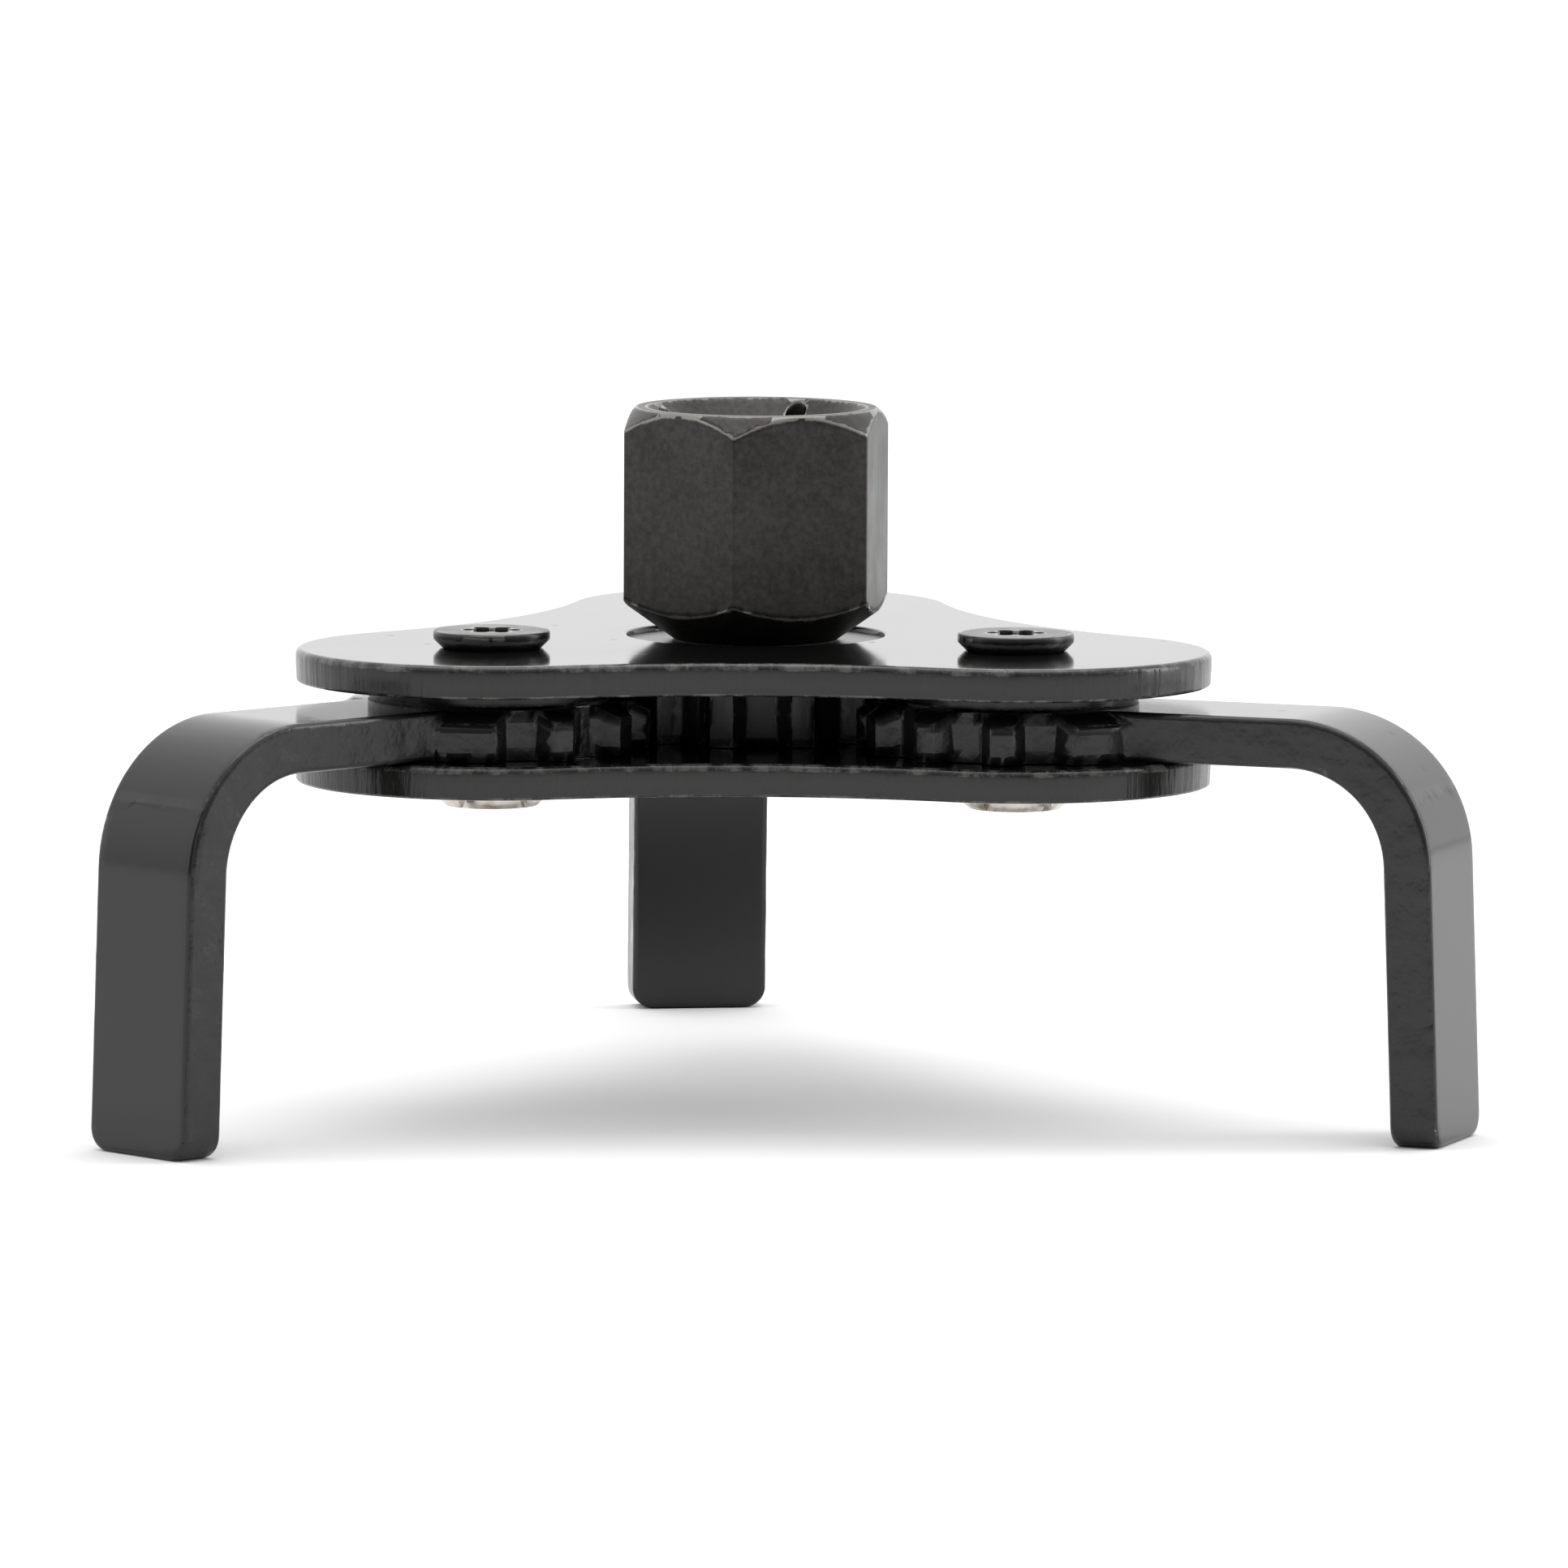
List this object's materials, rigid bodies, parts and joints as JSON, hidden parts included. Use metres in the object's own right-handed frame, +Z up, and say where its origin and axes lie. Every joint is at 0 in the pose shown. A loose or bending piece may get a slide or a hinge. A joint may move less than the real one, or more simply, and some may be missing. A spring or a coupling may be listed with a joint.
{
  "type": "oil filter wrench",
  "caption": "Two-way oil filter wrench: a square or hexagon drive turns a sun gear that swings geared L-shaped legs in to grip the filter.",
  "frame": {"origin": "on the hub's axis, in the mouth of the square drive hole at the hexagon's top face", "axes": "+Z up out of the square drive hole, along the hub's axis; -Y is the front, between the left and right legs; +X to the right"},
  "size_m": [0.133, 0.1263, 0.068],
  "materials": {
    "plate_paint": "thick wet-looking gloss black over punched steel",
    "arm_paint": "thick wet-looking gloss black over bent flat bar",
    "head_oxide": "black oxide, worn bright along its edges",
    "gear_steel": "oiled black",
    "screw_oxide": "semi-gloss black",
    "bush_zinc": "bright bare steel, staked"
  },
  "bodies": {
    "frame": {"top_plate": "plate_paint", "bottom_plate": "plate_paint", "pivot_bush_left": "bush_zinc", "pivot_bush_right": "bush_zinc", "pivot_bush_back": "bush_zinc", "shim_washer_left": "gear_steel", "shim_washer_right": "gear_steel", "shim_washer_back": "gear_steel", "pivot_screw_left": "screw_oxide", "pivot_screw_right": "screw_oxide", "pivot_screw_back": "screw_oxide"},
    "hub": {"drive_head": "head_oxide", "sun_gear": "gear_steel"},
    "arm_left": {"arm_left": "arm_paint"},
    "arm_right": {"arm_right": "arm_paint"},
    "arm_back": {"arm_back": "arm_paint"}
  },
  "joints": [
    {"name": "hub_turn", "type": "hinge", "parent": "frame", "child": "hub", "pos_m": [0, 0, 0], "axis": [0, 0, 1], "range_deg": [-95, 118]},
    {"name": "arm_left_swing", "type": "hinge", "parent": "frame", "child": "arm_left", "pos_m": [-0.02538, -0.01465, -0.03], "axis": [0, 0, 1], "range_deg": [-118, 95]},
    {"name": "arm_right_swing", "type": "hinge", "parent": "frame", "child": "arm_right", "pos_m": [0.02538, -0.01465, -0.03], "axis": [0, 0, 1], "range_deg": [-118, 95]},
    {"name": "arm_back_swing", "type": "hinge", "parent": "frame", "child": "arm_back", "pos_m": [0, 0.0293, -0.03], "axis": [0, 0, 1], "range_deg": [-118, 95]}
  ],
  "couplings": [
    {"joint": "arm_left_swing", "follows": "hub_turn", "ratio": -1},
    {"joint": "arm_right_swing", "follows": "hub_turn", "ratio": -1},
    {"joint": "arm_back_swing", "follows": "hub_turn", "ratio": -1}
  ]
}
